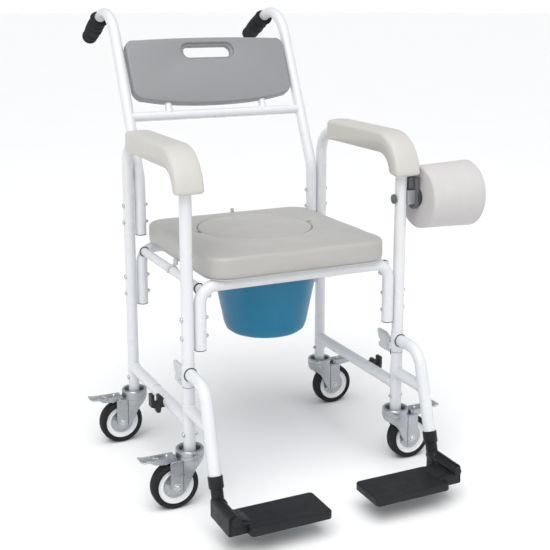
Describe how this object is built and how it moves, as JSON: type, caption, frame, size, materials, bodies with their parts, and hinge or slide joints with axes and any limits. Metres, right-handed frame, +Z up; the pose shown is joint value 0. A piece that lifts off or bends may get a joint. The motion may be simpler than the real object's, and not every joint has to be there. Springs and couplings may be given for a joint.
{
  "type": "commode chair",
  "caption": "Wheeled shower commode chair with a white tubular steel frame, grey padded seat with a lid over a blue bucket, and swing-away footrests.",
  "frame": {"origin": "on the floor, below the middle of the whole chair's outline seen from above", "axes": "+Z is up and the sitter faces -Y, so +X is the sitter's left, the side with the paper roll"},
  "size_m": [0.7774, 1.0028, 1.0006],
  "materials": {
    "frame_paint": "satin white powder coat",
    "seat_vinyl": "smooth grey vinyl, satin",
    "backrest_plastic": "fine grained mid-grey moulding",
    "armrest_foam": "soft moulded foam skin, off-white",
    "bucket_blue": "semi-gloss blue moulding",
    "caster_zinc": "satin zinc plate",
    "rim_white": "satin white nylon",
    "tyre_black": "matte black rubber",
    "footrest_black": "matte black nylon",
    "latch_grey": "light grey nylon",
    "grip_rubber": "ribbed black rubber",
    "clip_black": "black nylon",
    "clamp_steel": "dull zinc plate",
    "holder_grey": "dark grey moulding",
    "paper": "soft white tissue"
  },
  "bodies": {
    "frame": {"seat_frame_front": "frame_paint", "seat_frame_rear": "frame_paint", "side_frame_right": "frame_paint", "side_rail_right": "frame_paint", "seat_tube_right": "frame_paint", "bucket_rail_right": "frame_paint", "back_post_right": "frame_paint", "side_frame_left": "frame_paint", "side_rail_left": "frame_paint", "seat_tube_left": "frame_paint", "bucket_rail_left": "frame_paint", "back_post_left": "frame_paint", "back_crossbar": "frame_paint", "backrest_pad": "backrest_plastic", "push_grip_right": "grip_rubber", "push_grip_left": "grip_rubber", "armrest_pad_right": "armrest_foam", "armrest_pad_left": "armrest_foam", "rail_clip_right": "clip_black", "rail_clip_left": "clip_black", "roll_clamp": "clamp_steel", "roll_holder": "holder_grey"},
    "bucket": {"bucket": "bucket_blue"},
    "seat": {"seat_pad": "seat_vinyl"},
    "lid": {"seat_lid": "seat_vinyl"},
    "caster_front_right": {"caster_front_right_fork": "caster_zinc"},
    "wheel_front_right": {"caster_front_right_rim": "rim_white", "caster_front_right_tyre": "tyre_black"},
    "brake_front_right": {"caster_front_right_brake_pedal": "caster_zinc"},
    "caster_front_left": {"caster_front_left_fork": "caster_zinc"},
    "wheel_front_left": {"caster_front_left_rim": "rim_white", "caster_front_left_tyre": "tyre_black"},
    "brake_front_left": {"caster_front_left_brake_pedal": "caster_zinc"},
    "caster_rear_right": {"caster_rear_right_fork": "caster_zinc"},
    "wheel_rear_right": {"caster_rear_right_rim": "rim_white", "caster_rear_right_tyre": "tyre_black"},
    "brake_rear_right": {"caster_rear_right_brake_pedal": "caster_zinc"},
    "caster_rear_left": {"caster_rear_left_fork": "caster_zinc"},
    "wheel_rear_left": {"caster_rear_left_rim": "rim_white", "caster_rear_left_tyre": "tyre_black"},
    "brake_rear_left": {"caster_rear_left_brake_pedal": "caster_zinc"},
    "footrest_right": {"footrest_right_hanger": "frame_paint", "footrest_right_collar_upper": "frame_paint", "footrest_right_collar_lower": "frame_paint", "footrest_right_elbow": "footrest_black", "footrest_right_hinge_pin": "footrest_black"},
    "latch_right": {"footrest_right_latch_lever": "latch_grey"},
    "footplate_right": {"footrest_right_footplate": "footrest_black"},
    "footrest_left": {"footrest_left_hanger": "frame_paint", "footrest_left_collar_upper": "frame_paint", "footrest_left_collar_lower": "frame_paint", "footrest_left_elbow": "footrest_black", "footrest_left_hinge_pin": "footrest_black"},
    "latch_left": {"footrest_left_latch_lever": "latch_grey"},
    "footplate_left": {"footrest_left_footplate": "footrest_black"},
    "paper_roll": {"paper_roll": "paper"},
    "clamp_knob": {"clamp_knob": "holder_grey"}
  },
  "joints": [
    {"name": "caster_front_right_swivel", "type": "hinge", "parent": "frame", "child": "caster_front_right", "pos_m": [-0.2787, -0.24659, 0.11], "axis": [0, 0, 1], "continuous": true},
    {"name": "wheel_front_right_spin", "type": "hinge", "parent": "caster_front_right", "child": "wheel_front_right", "pos_m": [-0.3139, -0.24659, 0.05], "axis": [0, 1, 0], "continuous": true},
    {"name": "brake_front_right_press", "type": "hinge", "parent": "caster_front_right", "child": "brake_front_right", "pos_m": [-0.3197, -0.24659, 0.109], "axis": [0, -1, 0], "range_deg": [0, 10]},
    {"name": "caster_front_left_swivel", "type": "hinge", "parent": "frame", "child": "caster_front_left", "pos_m": [0.2161, -0.24659, 0.11], "axis": [0, 0, 1], "continuous": true},
    {"name": "wheel_front_left_spin", "type": "hinge", "parent": "caster_front_left", "child": "wheel_front_left", "pos_m": [0.2513, -0.24659, 0.05], "axis": [0, 1, 0], "continuous": true},
    {"name": "brake_front_left_press", "type": "hinge", "parent": "caster_front_left", "child": "brake_front_left", "pos_m": [0.2571, -0.24659, 0.109], "axis": [0, 1, 0], "range_deg": [0, 10]},
    {"name": "caster_rear_right_swivel", "type": "hinge", "parent": "frame", "child": "caster_rear_right", "pos_m": [-0.2787, 0.11781, 0.11], "axis": [0, 0, 1], "continuous": true},
    {"name": "wheel_rear_right_spin", "type": "hinge", "parent": "caster_rear_right", "child": "wheel_rear_right", "pos_m": [-0.3139, 0.11781, 0.05], "axis": [0, 1, 0], "continuous": true},
    {"name": "brake_rear_right_press", "type": "hinge", "parent": "caster_rear_right", "child": "brake_rear_right", "pos_m": [-0.3197, 0.11781, 0.109], "axis": [0, -1, 0], "range_deg": [0, 10]},
    {"name": "caster_rear_left_swivel", "type": "hinge", "parent": "frame", "child": "caster_rear_left", "pos_m": [0.2161, 0.11781, 0.11], "axis": [0, 0, 1], "continuous": true},
    {"name": "wheel_rear_left_spin", "type": "hinge", "parent": "caster_rear_left", "child": "wheel_rear_left", "pos_m": [0.2513, 0.11781, 0.05], "axis": [0, 1, 0], "continuous": true},
    {"name": "brake_rear_left_press", "type": "hinge", "parent": "caster_rear_left", "child": "brake_rear_left", "pos_m": [0.2571, 0.11781, 0.109], "axis": [0, 1, 0], "range_deg": [0, 10]},
    {"name": "footrest_right_swing", "type": "hinge", "parent": "frame", "child": "footrest_right", "pos_m": [-0.2787, -0.24659, 0.24], "axis": [0, 0, -1], "range_deg": [0, 90]},
    {"name": "latch_right_lift", "type": "hinge", "parent": "footrest_right", "child": "latch_right", "pos_m": [-0.2695, -0.22059, 0.264], "axis": [1, 0, 0], "range_deg": [0, 15], "stiffness_Nm_per_rad": 0.15},
    {"name": "footplate_right_flip", "type": "hinge", "parent": "footrest_right", "child": "footplate_right", "pos_m": [-0.2787, -0.45839, 0.072], "axis": [0, -1, 0], "range_deg": [0, 90]},
    {"name": "footrest_left_swing", "type": "hinge", "parent": "frame", "child": "footrest_left", "pos_m": [0.2161, -0.24659, 0.24], "axis": [0, 0, 1], "range_deg": [0, 90]},
    {"name": "latch_left_lift", "type": "hinge", "parent": "footrest_left", "child": "latch_left", "pos_m": [0.2069, -0.22059, 0.264], "axis": [1, 0, 0], "range_deg": [0, 15], "stiffness_Nm_per_rad": 0.15},
    {"name": "footplate_left_flip", "type": "hinge", "parent": "footrest_left", "child": "footplate_left", "pos_m": [0.2161, -0.45839, 0.072], "axis": [0, 1, 0], "range_deg": [0, 90]},
    {"name": "bucket_lift", "type": "slide", "parent": "frame", "child": "bucket", "axis": [0, 0, 1], "range_m": [0, 0.2]},
    {"name": "seat_lift", "type": "slide", "parent": "bucket", "child": "seat", "axis": [0, 0, 1], "range_m": [0, 0.15]},
    {"name": "lid_lift", "type": "slide", "parent": "seat", "child": "lid", "axis": [0, 0, 1], "range_m": [0, 0.15]},
    {"name": "paper_roll_spin", "type": "hinge", "parent": "frame", "child": "paper_roll", "pos_m": [0.3287, -0.24659, 0.6025], "axis": [1, 0, 0], "continuous": true},
    {"name": "clamp_knob_turn", "type": "hinge", "parent": "frame", "child": "clamp_knob", "pos_m": [0.1977, -0.24659, 0.6025], "axis": [1, 0, 0], "continuous": true}
  ]
}
